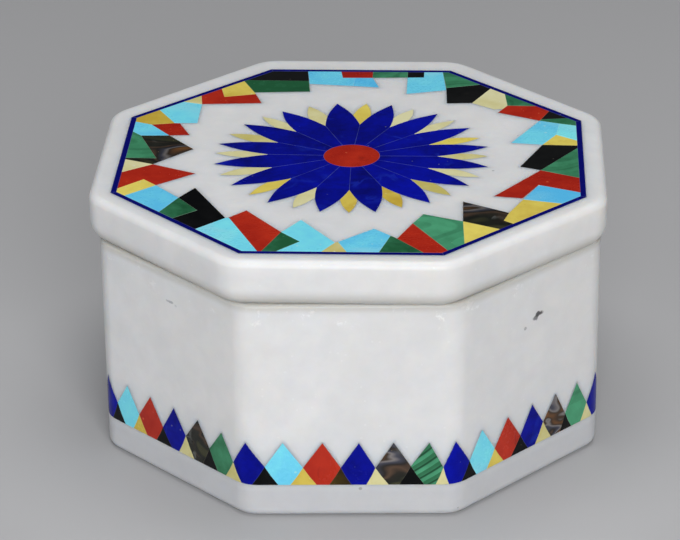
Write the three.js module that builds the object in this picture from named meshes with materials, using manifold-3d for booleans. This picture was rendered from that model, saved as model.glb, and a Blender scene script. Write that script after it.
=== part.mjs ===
// An eight-sided marble box with a lift-off lid, inlaid with semi-precious stones.
// Millimetres, +Z up, origin at the centre of the underside, front face towards -Y.
import * as THREE from 'three';
import { mergeVertices } from 'three/addons/utils/BufferGeometryUtils.js';
import Module from 'manifold-3d';

const wasm = await Module();
wasm.setup();

// Marble blocks
const totalHeight = 69.2;
const lidAcrossFlats = 128;
const bodyAcrossFlats = 124.2;
const lidThickness = 11.6;
const wallThickness = 8;
const floorThickness = 8;
const lidCornerRadius = 10;
const lidBackDepth = 1.03; // the slab is cut this much deeper behind its centre than before it
const seatSunk = 2; // height over which the step and the slab are one piece
const bodyCornerRadius = 8;
const edgeRadius = 2; // rounding of the lower edge of the body
const rimRadius = 0.8; // rounding of the body's upper outer edge
const stepHeight = 3; // locating step under the lid
const stepClearance = 2; // all round, between the step and the cavity
const seatGap = 0.1; // between the body's rim and the lid

// The loose lid lies a little turned and pushed back on the body, and its inlay is set a
// little off the lid's own centre.
const lidTurn = -1.95; // degrees
const lidShift = [0.12, 0.6];
const inlayShift = [0.2, -0.5];

// Inlay, common to every stone
const stoneThickness = 2;
const jointGap = 0.12; // between a stone and its neighbour or its pocket

// Rosette
const petalCount = 16;
const discRadius = 7.1;
const petalTip = 35;
// degrees that the petal points stand off even spacing, anticlockwise from the front
const petalLeans = [0.6, 1.7, 2.5, 0.9, -0.5, -1.5, -3.4, -3.8, -2.6, 0.1, -1, -0.3, -1.5, -0.6, 0.2, 0.9];
const petalNotch = 20.9; // radius at which two neighbouring petals part
const tipStoneTip = 34.7;
const tipStoneWidest = 27;
const tipStoneHalfWidth = 2.2;

// Border line and frieze
const borderOuter = 58.55; // apothems
const borderInner = 57.15;
const friezeBase = 9;
const kiteHeight = 11.7;
const kiteWaist = 5; // height of the widest point above the base line
const kiteFoot = 1.45; // half width at the base line
const kitesPerFace = 6; // five whole ones and two halves at the corners

// How far each face's whole kites stand from even spacing, left to right seen from outside;
// the faces go round from +X.
const kiteShifts = {
  right: [0.5, 0.9, 0.4, -0.2, 0.3],
  back_right: [-0.4, -0.8, -0.3, 0.2, 0.1],
  back: [0.3, 0.8, 1.1, 0.7, 0.2],
  back_left: [-0.6, -0.2, 0.4, 0.6, 0.9],
  left: [0.2, -0.4, -0.7, -0.3, 0.4],
  front_left: [-0.3, -0.1, 0.2, 0.5, 0.6],
  front: [0.7, 1.8, 2.1, 2, 2.1],
  front_right: [0.3, 1, 1.3, 1.4, 0.8],
};

const sides = 8;
const sideAngle = Math.PI / 4;
const cornerScale = 1 / Math.cos(sideAngle / 2); // apothem to corner radius
const lidApothem = lidAcrossFlats / 2;
const bodyApothem = bodyAcrossFlats / 2;
const cavityApothem = bodyApothem - wallThickness;
const stepApothem = cavityApothem - stepClearance;
const lidBottom = totalHeight - lidThickness;
const rimTop = lidBottom - seatGap;
const pocketFloor = totalHeight - stoneThickness - jointGap;
const cutHeight = 6; // how far a cutting solid reaches past the surface

const finishes = {
  marble: { color: 0xe4e2dd, roughness: 0.32 },
  lapis: { color: 0x0d1290, roughness: 0.22 },
  coral: { color: 0xa81c12, roughness: 0.28 },
  ochre: { color: 0xd2b24a, roughness: 0.3 },
  turquoise: { color: 0x5cc6e8, roughness: 0.3 },
  mixed: { color: 0x3f8f6a, roughness: 0.28 },
};

// One side of the mosaic band after another, clockwise seen from above and starting at the
// front; each outline is a stone's corner points on the lid's top.
const mosaicSides = {
  front: [
    [[-24.2, -34], [-28.2, -38.2], [-20, -57.05], [-19, -57.05], [-15, -46.3]],
    [[-15, -46.3], [-19, -57.05], [-15.5, -57.05], [-10.2, -51.6]],
    [[-10.6, -39.2], [-14.4, -45.5], [-15, -46.3], [-10.2, -51.6], [-15.5, -57.05], [-4.8, -57.05], [-1.8, -52]],
    [[-1.8, -52], [-4.8, -57.05], [1.2, -57.05], [-1.1, -51.6]],
    [[7.2, -43.9], [-1.1, -51.6], [1.2, -57.05], [8.8, -57.05], [11.3, -47.8]],
    [[11.3, -47.8], [8.8, -57.05], [19.4, -57.05], [12.9, -49.4]],
    [[16.4, -40.6], [12.9, -49.4], [19.4, -57.05], [23.63, -57.05], [25, -55.68]],
  ],
  front_right: [
    [[18.9, -35.2], [16.4, -40.6], [25, -55.68], [28.9, -51.78], [28.5, -39.2]],
    [[28.5, -39.2], [28.9, -51.78], [37.3, -43.38]],
    [[28.4, -27.6], [28.5, -39.2], [37.3, -43.38], [40.5, -40.18], [38.3, -38.5], [39.6, -34]],
    [[43.1, -26], [39.6, -34], [38.3, -38.5], [40.5, -40.18], [52.5, -28.18]],
  ],
  right: [
    [[47, -17.2], [43.1, -26], [52.5, -28.18], [57.05, -23.63], [57.05, -21.5]],
    [[47.6, -8.1], [35.9, -24.3], [42.9, -25.4], [47, -17.2], [57.05, -21.5], [57.05, -12.6]],
    [[57.05, 6.2], [47.6, -8.1], [57.05, -12.6]],
    [[48.3, 8.1], [57.05, 7.8], [57.05, 6.2], [47.6, -8.1], [42.5, -6]],
    [[51.9, 14.7], [48.3, 8.1], [57.05, 7.8], [57.05, 11]],
    [[47.8, 23.9], [40.3, 9.1], [48.3, 8.1], [51.9, 14.7], [52.9, 22.1]],
    [[52.9, 22.1], [51.9, 14.7], [57.05, 11], [57.05, 20.8]],
  ],
  back_right: [
    [[48.2, 24.9], [47.8, 23.9], [52.9, 22.1], [57.05, 20.8], [57.05, 23.63], [55, 25.68]],
    [[50.3, 30.38], [48.2, 24.9], [55, 25.68]],
    [[39.5, 34], [37, 29.2], [47.8, 23.9], [50.3, 30.38], [46.9, 33.78]],
    [[38.8, 41.88], [39.5, 34], [46.9, 33.78]],
    [[35, 45.68], [30.2, 35.6], [36, 31.4], [38.3, 31.7], [39.5, 34], [38.8, 41.88]],
  ],
  back: [
    [[23.3, 46], [23.6, 35.2], [30.2, 35.6], [35, 45.68], [32.2, 48.48]],
    [[22.2, 57.05], [23.3, 46], [32.2, 48.48], [23.63, 57.05]],
    [[17.2, 57.05], [17.2, 53.4], [12.8, 53.2], [12.8, 41.6], [23.3, 44.4], [22.2, 57.05]],
    [[12.8, 57.05], [12.8, 53.2], [17.2, 53.4], [17.2, 57.05]],
    [[3.4, 57.05], [3.4, 53.2], [12.8, 53.2], [12.8, 57.05]],
    [[-5.2, 57.05], [-4.6, 52.7], [3.4, 52.8], [3.4, 57.05]],
    [[-1.2, 52.75], [-1.6, 46.9], [5.4, 46], [3.4, 52.8]],
    [[-14.2, 57.05], [-13.3, 48.2], [-1.6, 46.9], [-1.2, 52.75], [-4.6, 52.7], [-5.2, 57.05]],
  ],
  back_left: [
    [[-23.63, 57.05], [-30.2, 50.48], [-13.6, 50.3], [-14.2, 57.05]],
    [[-30.2, 50.48], [-30.9, 49.78], [-27.6, 41.8], [-12.9, 42.7], [-13.6, 50.3]],
    [[-36.5, 44.18], [-35.4, 38.6], [-27.2, 40.7], [-27.6, 41.8], [-30.9, 49.78]],
    [[-41.5, 39.18], [-40.9, 33.4], [-25.2, 34.4], [-27.2, 40.7], [-35.4, 38.6], [-36.5, 44.18]],
    [[-45.8, 34.88], [-40.9, 33.4], [-41.5, 39.18]],
  ],
  left: [
    [[-51.6, 29.08], [-46.9, 20.4], [-41, 20.5], [-40.9, 33.4], [-45.8, 34.88]],
    [[-57.05, 23.63], [-57.05, 21.2], [-52.8, 19.3], [-46.9, 20.4], [-51.6, 29.08]],
    [[-52.8, 19.3], [-47.5, 12.2], [-42.3, 12.5], [-45.6, 20.4], [-46.9, 20.4]],
    [[-57.05, 21.2], [-57.05, 14.6], [-54.8, 12], [-47.5, 12.2], [-52.8, 19.3]],
    [[-57.05, 14.6], [-57.05, -2.5], [-49.4, -2.6], [-54.8, 12]],
    [[-54.8, 12], [-49.4, -2.6], [-57.05, -2.5], [-57.05, -3.4], [-49.9, -6.4], [-40.5, 3.4], [-47.5, 12.2]],
    [[-57.05, -3.4], [-57.05, -11.5], [-49.9, -6.4]],
  ],
  front_left: [
    [[-49.9, -6.4], [-57.05, -11.5], [-57.05, -21.6], [-51.2, -15.8], [-47.8, -19.4], [-38.6, -12]],
    [[-51.2, -15.8], [-57.05, -21.6], [-57.05, -23.63], [-54.9, -25.78], [-47.8, -19.4]],
    [[-47.8, -19.4], [-54.9, -25.78], [-45.4, -35.28], [-41.5, -26.8]],
    [[-41.5, -26.8], [-45.4, -35.28], [-41.8, -38.88], [-36.2, -34.2]],
    [[-37.9, -20.8], [-41.5, -26.8], [-36.2, -34.2], [-41.8, -38.88], [-35.7, -44.98], [-29, -38.5]],
    [[-29, -38.5], [-35.7, -44.98], [-23.63, -57.05], [-20, -57.05], [-28.2, -38.2]],
  ],
};

function toSolid(geometry) {
  geometry.deleteAttribute('normal');
  geometry.deleteAttribute('uv');
  const merged = mergeVertices(geometry, 1e-4);
  return new wasm.Manifold(new wasm.Mesh({
    numProp: 3,
    vertProperties: new Float32Array(merged.attributes.position.array),
    triVerts: new Uint32Array(merged.index.array),
  }));
}

function toMesh(name, solid, finish) {
  const cut = solid.getMesh();
  const geometry = new THREE.BufferGeometry();
  geometry.setAttribute('position', new THREE.BufferAttribute(cut.vertProperties, 3));
  geometry.setIndex(new THREE.BufferAttribute(cut.triVerts, 1));
  geometry.computeVertexNormals();
  const mesh = new THREE.Mesh(geometry, new THREE.MeshStandardMaterial({ metalness: 0, ...finishes[finish] }));
  mesh.name = name;
  return mesh;
}

// Eight flats round the axis; the profile's points are [apothem, height], from the bottom up.
function octagonalTurning(profile) {
  const points = profile.map(([apothem, z]) => new THREE.Vector2(apothem * cornerScale, z));
  const geometry = new THREE.LatheGeometry(points, sides, sideAngle / 2);
  return toSolid(geometry.rotateX(Math.PI / 2));
}

function extrude(shape, bottom, top, curveSegments = 5) {
  const options = { depth: top - bottom, bevelEnabled: false, curveSegments };
  return toSolid(new THREE.ExtrudeGeometry(shape, options).translate(0, 0, bottom));
}

function polygon(points) {
  return new THREE.Shape(points.map(([x, y]) => new THREE.Vector2(x, y)));
}

// Octagon with its flats towards X and Y and its corners rounded.
function roundedOctagon(apothem, radius) {
  const shape = new THREE.Shape();
  const reach = (apothem - radius) * cornerScale;
  for (let side = 0; side < sides; side += 1) {
    const corner = (side + 0.5) * sideAngle;
    const centre = [reach * Math.cos(corner), reach * Math.sin(corner)];
    shape.absarc(...centre, radius, side * sideAngle, (side + 1) * sideAngle);
  }
  return shape;
}

function octagon(apothem) {
  const points = [];
  for (let side = 0; side < sides; side += 1) {
    const corner = (side + 0.5) * sideAngle;
    points.push([apothem * cornerScale * Math.cos(corner), apothem * cornerScale * Math.sin(corner)]);
  }
  return polygon(points);
}

// Moves every edge of an anticlockwise or clockwise outline outwards by the same amount.
function grow(points, amount) {
  const area = points.reduce((sum, [x, y], i) => {
    const [nextX, nextY] = points[(i + 1) % points.length];
    return sum + x * nextY - nextX * y;
  }, 0);
  const turn = Math.sign(area);
  return points.map(([x, y], i) => {
    const [lastX, lastY] = points[(i + points.length - 1) % points.length];
    const [nextX, nextY] = points[(i + 1) % points.length];
    const into = new THREE.Vector2(x - lastX, y - lastY).normalize();
    const out = new THREE.Vector2(nextX - x, nextY - y).normalize();
    const mitre = new THREE.Vector2(into.y + out.y, -into.x - out.x).multiplyScalar(turn);
    const scale = amount * 2 / Math.max(mitre.lengthSq(), 0.6);
    return [x + mitre.x * scale, y + mitre.y * scale];
  });
}

function largestBody(solid) {
  return solid.decompose().sort((a, b) => b.volume() - a.volume())[0];
}

function joinAll(solids) {
  return solids.reduce((joined, solid) => joined.add(solid));
}

// Edge rounding as [inset, rise] steps of a quarter circle.
function quarterRound(radius, steps) {
  return Array.from({ length: steps + 1 }, (_, i) => {
    const angle = (i / steps) * Math.PI / 2;
    return [radius * (1 - Math.sin(angle)), radius * (1 - Math.cos(angle))];
  });
}

// Outline of a petal: straight sides along the lines between neighbours out to the notch,
// then a leaf curve that narrows to the point.
function petalHalfWidth(radius) {
  const side = petalNotch * Math.tan(Math.PI / petalCount);
  const along = (radius - petalNotch) / (petalTip - petalNotch);
  return along <= 0 ? radius * Math.tan(Math.PI / petalCount) : side * (1 - along ** 1.35);
}

function leafOutline(radii, halfWidth) {
  const right = radii.map((radius) => [halfWidth(radius), radius]);
  const left = radii.map((radius) => [-halfWidth(radius), radius]).reverse();
  return [...right, ...left];
}

function petalOutline() {
  const start = discRadius + jointGap;
  const radii = [start];
  for (let i = 0; i < 8; i += 1) radii.push(petalNotch + (petalTip - petalNotch) * i / 8);
  const outline = leafOutline(radii, petalHalfWidth);
  outline.splice(radii.length, 0, [0, petalTip]);
  return outline;
}

// A pale stone between two petal points: it fills the notch and ends in a blunt leaf.
function tipStoneHalf(radius) {
  const petalEdge = Math.atan2(petalHalfWidth(radius), radius);
  const room = Math.max(radius * Math.tan(Math.PI / petalCount - petalEdge), 0);
  const along = Math.max((radius - tipStoneWidest) / (tipStoneTip - tipStoneWidest), 0);
  return Math.min(room, tipStoneHalfWidth * (1 - along ** 1.9));
}

function tipStoneOutline() {
  const radii = [];
  for (let i = 1; i < 12; i += 1) radii.push(petalNotch + (tipStoneTip - petalNotch) * i / 12);
  const outline = leafOutline(radii, tipStoneHalf);
  outline.splice(radii.length, 0, [0, tipStoneTip]);
  outline.push([0, petalNotch]);
  return outline;
}

// Petals and the stones between them lean with the nearest petal points, so none can meet.
function leaned(outline) {
  return outline.map(([x, y]) => {
    const place = (Math.atan2(x, -y) / (2 * Math.PI) + 1) * petalCount - 0.5;
    const before = petalLeans[Math.floor(place) % petalCount];
    const after = petalLeans[Math.ceil(place) % petalCount];
    const lean = (before + (after - before) * (place % 1)) * Math.PI / 180;
    return turned([[x, y]], lean)[0];
  });
}

// Turns an outline drawn along +Y about the lid's centre.
function turned(outline, angle) {
  const cos = Math.cos(angle);
  const sin = Math.sin(angle);
  return outline.map(([x, y]) => [x * cos - y * sin, x * sin + y * cos]);
}

// Frieze outlines stand in the plane of a face: x to the right, y upwards from the underside.
const pitch = 2 * bodyApothem * Math.tan(sideAngle / 2) / kitesPerFace;
const waistHeight = friezeBase + kiteWaist;
const tipHeight = friezeBase + kiteHeight;

// A kite on a corner is narrower by the slant of the two faces that it bends round.
const cornerSquash = Math.cos(sideAngle / 2);

function kiteOutline(squash) {
  const foot = kiteFoot * squash;
  const waist = pitch * squash / 2;
  return [[-foot, friezeBase], [foot, friezeBase], [waist, waistHeight], [0, tipHeight], [-waist, waistHeight]];
}

// Five kites and the triangles between their feet, from corner stone to corner stone.
function bandOutline(shifts) {
  const end = pitch * kitesPerFace / 2;
  const tips = shifts.map((shift, i) => (i + 1) * pitch - end + shift);
  const points = [[end - kiteFoot, friezeBase], [end - pitch / 2, waistHeight]];
  for (let i = tips.length - 1; i >= 0; i -= 1) {
    const touch = i > 0 ? (tips[i - 1] + tips[i]) / 2 : pitch / 2 - end;
    points.push([tips[i], tipHeight], [touch, waistHeight]);
  }
  points.push([kiteFoot - end, friezeBase]);
  return points;
}

// Cuts a standing outline out of a ring that follows the body's outer surface.
function wallPiece(outline, angle, ring) {
  const cutter = new THREE.ExtrudeGeometry(polygon(outline), { depth: 2 * cutHeight, bevelEnabled: false });
  const along = new THREE.Vector3(-Math.sin(angle), Math.cos(angle), 0);
  const outward = new THREE.Vector3(Math.cos(angle), Math.sin(angle), 0);
  const place = new THREE.Matrix4().makeBasis(along, new THREE.Vector3(0, 0, 1), outward);
  place.setPosition(outward.clone().multiplyScalar(bodyApothem - cutHeight));
  return toSolid(cutter.applyMatrix4(place)).intersect(ring);
}

function wallRing(outside, inside) {
  const outer = extrude(roundedOctagon(outside, bodyCornerRadius), friezeBase - 2, tipHeight + 2);
  const innerRadius = bodyCornerRadius - (bodyApothem - inside);
  const inner = extrude(roundedOctagon(inside, innerRadius), friezeBase - 3, tipHeight + 3);
  return outer.subtract(inner);
}

const box = new THREE.Group();
const lid = new THREE.Group();

function addToLid(name, solid, finish, shift = [0, 0]) {
  const placed = solid.translate([...shift, 0]).rotate([0, 0, lidTurn]).translate([...lidShift, 0]);
  lid.add(toMesh(name, placed, finish));
}

function makeFrieze() {
  const stoneRing = wallRing(bodyApothem, bodyApothem - stoneThickness);
  const pocketRing = wallRing(bodyApothem + 1, bodyApothem - stoneThickness - jointGap);
  const faceNames = Object.keys(kiteShifts);
  const cornerPockets = faceNames.map((_, side) => (
    wallPiece(grow(kiteOutline(cornerSquash), jointGap), (side + 0.5) * sideAngle, pocketRing)
  ));
  const bandPockets = faceNames.map((faceName, side) => (
    wallPiece(grow(bandOutline(kiteShifts[faceName]), jointGap), side * sideAngle, pocketRing)
  ));
  faceNames.forEach((faceName, side) => {
    const corner = wallPiece(kiteOutline(cornerSquash), (side + 0.5) * sideAngle, stoneRing);
    const outline = grow(bandOutline(kiteShifts[faceName]), -jointGap / 2);
    const band = wallPiece(outline, side * sideAngle, stoneRing)
      .subtract(cornerPockets[side])
      .subtract(cornerPockets[(side + sides - 1) % sides]);
    box.add(toMesh(`corner_stone_${side + 1}`, corner, 'lapis'));
    box.add(toMesh(`frieze_${faceName}`, largestBody(band), 'mixed'));
  });
  return joinAll([...cornerPockets, ...bandPockets]);
}

function makeBoxBody() {
  const lower = quarterRound(edgeRadius, 3).map(([inset, rise]) => [bodyApothem - inset, rise]);
  const upper = quarterRound(rimRadius, 2).map(([inset, rise]) => [bodyApothem - inset, rimTop - rise]);
  const block = octagonalTurning([[0, 0], ...lower, ...upper.reverse(), [0, rimTop]]);
  const rounded = extrude(roundedOctagon(bodyApothem, bodyCornerRadius), -1, rimTop + 1);
  const fillet = quarterRound(3, 3).map(([inset, rise]) => [cavityApothem - inset, floorThickness + rise]);
  const cavity = octagonalTurning([[0, floorThickness], ...fillet,
    [cavityApothem, rimTop + cutHeight], [0, rimTop + cutHeight]]);
  const carved = block.intersect(rounded).subtract(cavity).subtract(makeFrieze());
  box.add(toMesh('box_body', carved, 'marble'));
}

function makeRosette() {
  const top = totalHeight;
  const bottom = totalHeight - stoneThickness;
  const disc = new THREE.Shape().absarc(0, 0, discRadius, 0, 2 * Math.PI);
  addToLid('rosette_disc', extrude(disc, bottom, top, 20), 'coral', inlayShift);
  const petal = petalOutline();
  const tipStone = tipStoneOutline();
  const pocketDisc = new THREE.Shape().absarc(0, 0, petalNotch - 0.5, 0, 2 * Math.PI);
  const pockets = [extrude(pocketDisc, pocketFloor, top + cutHeight, 32)];
  for (let i = 0; i < petalCount; i += 1) {
    const tipAngle = Math.PI + (i / petalCount) * 2 * Math.PI;
    const petalAngle = tipAngle + Math.PI / petalCount;
    const petalAt = (growth) => polygon(leaned(turned(grow(petal, growth), petalAngle)));
    const tipStoneAt = (growth) => polygon(leaned(turned(grow(tipStone, growth), tipAngle)));
    addToLid(`petal_${i + 1}`, extrude(petalAt(-jointGap / 2), bottom, top), 'lapis', inlayShift);
    addToLid(`petal_tip_${i + 1}`, extrude(tipStoneAt(-jointGap / 2), bottom, top), 'ochre', inlayShift);
    pockets.push(extrude(petalAt(jointGap), pocketFloor, top + cutHeight));
    pockets.push(extrude(tipStoneAt(jointGap), pocketFloor, top + cutHeight));
  }
  return joinAll(pockets);
}

function stonePrisms(outlines, growth, bottom, top) {
  return joinAll(outlines.map((outline) => extrude(polygon(grow(outline, growth)), bottom, top)));
}

// The mosaic is joined side by side of the lid; each side keeps clear of the next one.
function makeMosaic() {
  const bottom = totalHeight - stoneThickness;
  const sideNames = Object.keys(mosaicSides);
  const overlap = jointGap / 3;
  const limit = extrude(octagon(borderInner - jointGap), bottom - 1, totalHeight + 1);
  const pockets = [];
  sideNames.forEach((sideName, i) => {
    const next = mosaicSides[sideNames[(i + 1) % sideNames.length]];
    const stones = stonePrisms(mosaicSides[sideName], overlap, bottom, totalHeight);
    const neighbour = stonePrisms(next, overlap + jointGap, bottom - 1, totalHeight + 1);
    const band = stones.subtract(neighbour).intersect(limit);
    addToLid(`mosaic_${sideName}`, largestBody(band), 'turquoise', inlayShift);
    pockets.push(stonePrisms(mosaicSides[sideName], overlap + jointGap, pocketFloor, totalHeight + cutHeight));
  });
  return joinAll(pockets);
}

function makeBorderLine() {
  const bottom = totalHeight - stoneThickness;
  const line = extrude(octagon(borderOuter), bottom, totalHeight)
    .subtract(extrude(octagon(borderInner), bottom - 1, totalHeight + 1));
  addToLid('border_line', line, 'lapis', inlayShift);
  const reach = jointGap * 2;
  return extrude(octagon(borderOuter + jointGap), pocketFloor, totalHeight + cutHeight)
    .subtract(extrude(octagon(borderInner - reach), pocketFloor - 1, totalHeight + cutHeight + 1));
}

function makeLidSlab() {
  const stepProfile = [
    [0, -stepHeight], [stepApothem - 0.8, -stepHeight], [stepApothem, 0.8 - stepHeight],
    [stepApothem, seatSunk], [0, seatSunk],
  ];
  const slabProfile = [
    [0, 0], [62, 0], [62.36, 0.54], [63.1, 1.35], [63.7, 2.65], [lidApothem, 4.6],
    [lidApothem, 9.8], [63.7, 10.7], [63, 11.35], [62, lidThickness], [0, lidThickness],
  ];
  const raised = (profile) => profile.map(([apothem, z]) => [apothem, z + lidBottom]);
  const rounded = extrude(roundedOctagon(lidApothem, lidCornerRadius), lidBottom - 1, totalHeight + 1);
  const slab = octagonalTurning(raised(slabProfile)).intersect(rounded).warp((point) => {
    point[1] *= point[1] > 0 ? lidBackDepth : 1;
  });
  const pockets = joinAll([makeRosette(), makeMosaic(), makeBorderLine()]).translate([...inlayShift, 0]);
  addToLid('lid', slab.add(octagonalTurning(raised(stepProfile))).subtract(pockets), 'marble');
}

makeBoxBody();
makeLidSlab();

const inlaidBox = new THREE.Group();
inlaidBox.add(box, lid);
export default inlaidBox;
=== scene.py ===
import math

import bpy
import numpy as np
from mathutils import Matrix, Vector


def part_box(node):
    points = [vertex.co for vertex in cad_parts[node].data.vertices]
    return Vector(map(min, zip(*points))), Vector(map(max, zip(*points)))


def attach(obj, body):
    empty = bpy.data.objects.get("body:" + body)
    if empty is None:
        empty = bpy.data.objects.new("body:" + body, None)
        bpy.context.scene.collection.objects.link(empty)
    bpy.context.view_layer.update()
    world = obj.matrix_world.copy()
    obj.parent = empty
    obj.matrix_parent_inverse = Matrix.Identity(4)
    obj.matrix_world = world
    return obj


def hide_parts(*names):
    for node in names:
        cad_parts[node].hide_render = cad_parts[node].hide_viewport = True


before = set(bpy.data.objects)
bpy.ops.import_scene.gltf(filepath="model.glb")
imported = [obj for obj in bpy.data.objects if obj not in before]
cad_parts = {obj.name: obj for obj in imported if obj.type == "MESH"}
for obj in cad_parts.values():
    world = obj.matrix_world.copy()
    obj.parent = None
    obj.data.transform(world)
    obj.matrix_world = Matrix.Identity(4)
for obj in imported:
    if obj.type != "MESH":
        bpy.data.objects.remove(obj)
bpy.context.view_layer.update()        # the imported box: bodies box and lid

mm = 0.001
sides = 8
sideAngle = 2 * math.pi / sides
cornerScale = 1 / math.cos(sideAngle / 2)      # apothem to corner radius
chance = np.random.default_rng(16)             # every hand-cut irregularity comes from here

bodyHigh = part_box("box_body")[1]
lidLow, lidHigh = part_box("lid")
discLow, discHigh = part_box("rosette_disc")
kiteLow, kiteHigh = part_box("corner_stone_1")

bodyApothem = bodyHigh.x / mm
topZ = lidHigh.z / mm
rimZ = bodyHigh.z / mm
stoneDepth = (discHigh.z - discLow.z) / mm
lidTurn = math.radians(-1.95)                  # the loose lid lies a little turned on the box
# the lid is regular but for its deeper back, so its half width serves in front of the centre too
lidCentre = np.array([lidLow.x + lidHigh.x, 2 * lidLow.y + lidHigh.x - lidLow.x]) / 2 / mm
inlayCentre = (np.array(discLow) + np.array(discHigh))[:2] / 2 / mm
faceNames = ["front", "front_right", "right", "back_right", "back", "back_left", "left", "front_left"]
print("frame read: body %.1f mm across, box %.1f mm tall" % (2 * bodyApothem, topZ))


def newObject(name, points, faces, marks=None):
    # points in millimetres; marks are values kept with each point, such as how near it is to a joint
    mesh = bpy.data.meshes.new(name)
    mesh.from_pydata(np.asarray(points) * mm, [], faces)
    for markName, values in (marks or {}).items():
        mark = mesh.attributes.new(markName, "FLOAT", "POINT")
        mark.data.foreach_set("value", np.broadcast_to(values, len(mesh.vertices)).astype(np.float32))
    piece = bpy.data.objects.new(name, mesh)
    bpy.context.scene.collection.objects.link(piece)
    return piece


def ringFaces(rings, count):
    # quads between neighbouring closed rings, numbered ring by ring
    low = np.arange(rings - 1)[:, None] * count
    here = np.arange(count)[None, :]
    ahead = (here + 1) % count
    quads = np.stack([low + here, low + ahead, low + count + ahead, low + count + here], -1)
    return quads.reshape(-1, 4).tolist()


def gridFaces(rows, columns):
    # quads of an open grid whose points are numbered row by row
    index = np.arange(rows * columns).reshape(rows, columns)
    return np.stack([index[:-1, :-1], index[:-1, 1:], index[1:, 1:], index[1:, :-1]], -1).reshape(-1, 4)


def stripSolid(name, rings, marks=None):
    # rings (n, count, 3) run from the underside outwards and up; the first and last are closed by flat caps
    ringCount, count = rings.shape[:2]
    faces = ringFaces(ringCount, count)
    faces.append(list(range(count))[::-1])
    faces.append(list(range((ringCount - 1) * count, ringCount * count)))
    return newObject(name, rings.reshape(-1, 3), faces, marks)


def octagonRings(profile, perCorner):
    # each profile row is apothem, height and corner radius; a ring point is its corner's centre, pushed out
    # along the corner, plus the corner radius along a normal that turns by one side angle
    apothem, height, radius = np.asarray(profile, float).T[:, :, None]
    corner = (np.repeat(np.arange(sides), perCorner) + 0.5) * sideAngle
    normal = corner + np.tile(np.linspace(-0.5, 0.5, perCorner) * sideAngle, sides)
    reach = (apothem - radius) * cornerScale
    x = reach * np.cos(corner) + radius * np.cos(normal)
    y = reach * np.sin(corner) + radius * np.sin(normal)
    return np.stack([x, y, np.broadcast_to(height, x.shape)], -1)


def arcSteps(centre, radii, start, end, steps):
    # points along part of an ellipse in the plane of apothem and height, angles in degrees
    angle = np.radians(np.linspace(start, end, steps + 1))
    return np.stack([centre[0] + radii[0] * np.cos(angle), centre[1] + radii[1] * np.sin(angle)], -1)


def grownOutline(outline, amount):
    # every corner moves along its mitre, the sum of its two edge normals over one plus their dot product
    outline = np.asarray(outline, float)
    into = outline - np.roll(outline, 1, 0)
    into = into / np.linalg.norm(into, axis=1)[:, None]
    out = np.roll(into, -1, 0)
    normalIn = np.stack([into[:, 1], -into[:, 0]], -1)
    normalOut = np.stack([out[:, 1], -out[:, 0]], -1)
    spread = np.maximum(1 + (normalIn * normalOut).sum(1), 0.35)
    return outline + amount * (normalIn + normalOut) / spread[:, None]


def anticlockwise(outline):
    # the sum of each corner's cross product with the next is twice the area, and its sign is the sense
    outline = np.asarray(outline, float)
    ahead = np.roll(outline, -1, 0)
    twiceArea = (outline[:, 0] * ahead[:, 1] - ahead[:, 0] * outline[:, 1]).sum()
    return outline if twiceArea > 0 else outline[::-1]


def turnedOnto(centre, points):
    # points drawn about the lid's own centre, turned with the lid and moved to where that centre lies
    points = np.array(points, float)
    x, y = points[..., 0].copy(), points[..., 1].copy()
    points[..., 0] = centre[0] + x * math.cos(lidTurn) - y * math.sin(lidTurn)
    points[..., 1] = centre[1] + x * math.sin(lidTurn) + y * math.cos(lidTurn)
    return points


def finished(piece, material, body, slot, *nodes):
    # gives a piece its material, the body it moves with and the plain pieces it stands for
    piece.data.materials.append(material)
    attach(piece, body)
    if nodes:
        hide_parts(*nodes)
    return piece


def keepModified(piece):
    # what the piece's modifiers make becomes its own mesh
    bpy.context.view_layer.update()
    made = bpy.data.meshes.new_from_object(piece.evaluated_get(bpy.context.evaluated_depsgraph_get()))
    piece.modifiers.clear()
    piece.data = made


def carve(block, cutter):
    # takes the cutter's volume out of the block and leaves the result as the block's own mesh
    cut = block.modifiers.new("pockets", "BOOLEAN")
    cut.operation = "DIFFERENCE"
    cut.solver = "EXACT"
    cut.use_self = True
    cut.object = cutter
    keepModified(block)
    bpy.data.objects.remove(cutter)


def polished(piece, sharpAngle):
    # smooth shading that breaks at real edges and follows the large flats
    piece.data.polygons.foreach_set("use_smooth", np.ones(len(piece.data.polygons), bool))
    piece.data.set_sharp_from_angle(angle=math.radians(sharpAngle))
    shading = piece.modifiers.new("shading", "WEIGHTED_NORMAL")
    shading.keep_sharp = True
    shading.weight = 60


def feed(tree, socket, value):
    # a socket takes a link from another socket, or else a plain value
    if isinstance(value, bpy.types.NodeSocket):
        tree.links.new(value, socket)
    else:
        socket.default_value = value


def addNode(tree, kind, inputs=None, **settings):
    made = tree.nodes.new("ShaderNode" + kind)
    for key, value in settings.items():
        setattr(made, key, value)
    for key, value in (inputs or {}).items():
        feed(tree, made.inputs[key], value)
    return made


def maths(tree, operation, first, second=0.0, third=0.0, clamp=False):
    made = addNode(tree, "Math", {0: first, 1: second, 2: third}, operation=operation, use_clamp=clamp)
    return made.outputs[0]


def stretch(tree, value, low, high, toLow=0.0, toHigh=1.0):
    # a smooth step between low and high
    made = addNode(tree, "MapRange", {"Value": value, "From Min": low, "From Max": high,
                                      "To Min": toLow, "To Max": toHigh}, interpolation_type="SMOOTHSTEP")
    return made.outputs["Result"]


def mixed(tree, share, first, second):
    # the first colour where the share is nought, the second where it is one
    made = addNode(tree, "Mix", {"Factor": share}, data_type="RGBA")
    for key, value in ((6, first), (7, second)):
        feed(tree, made.inputs[key], value if isinstance(value, bpy.types.NodeSocket) else (*value, 1))
    return made.outputs[2]


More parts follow.
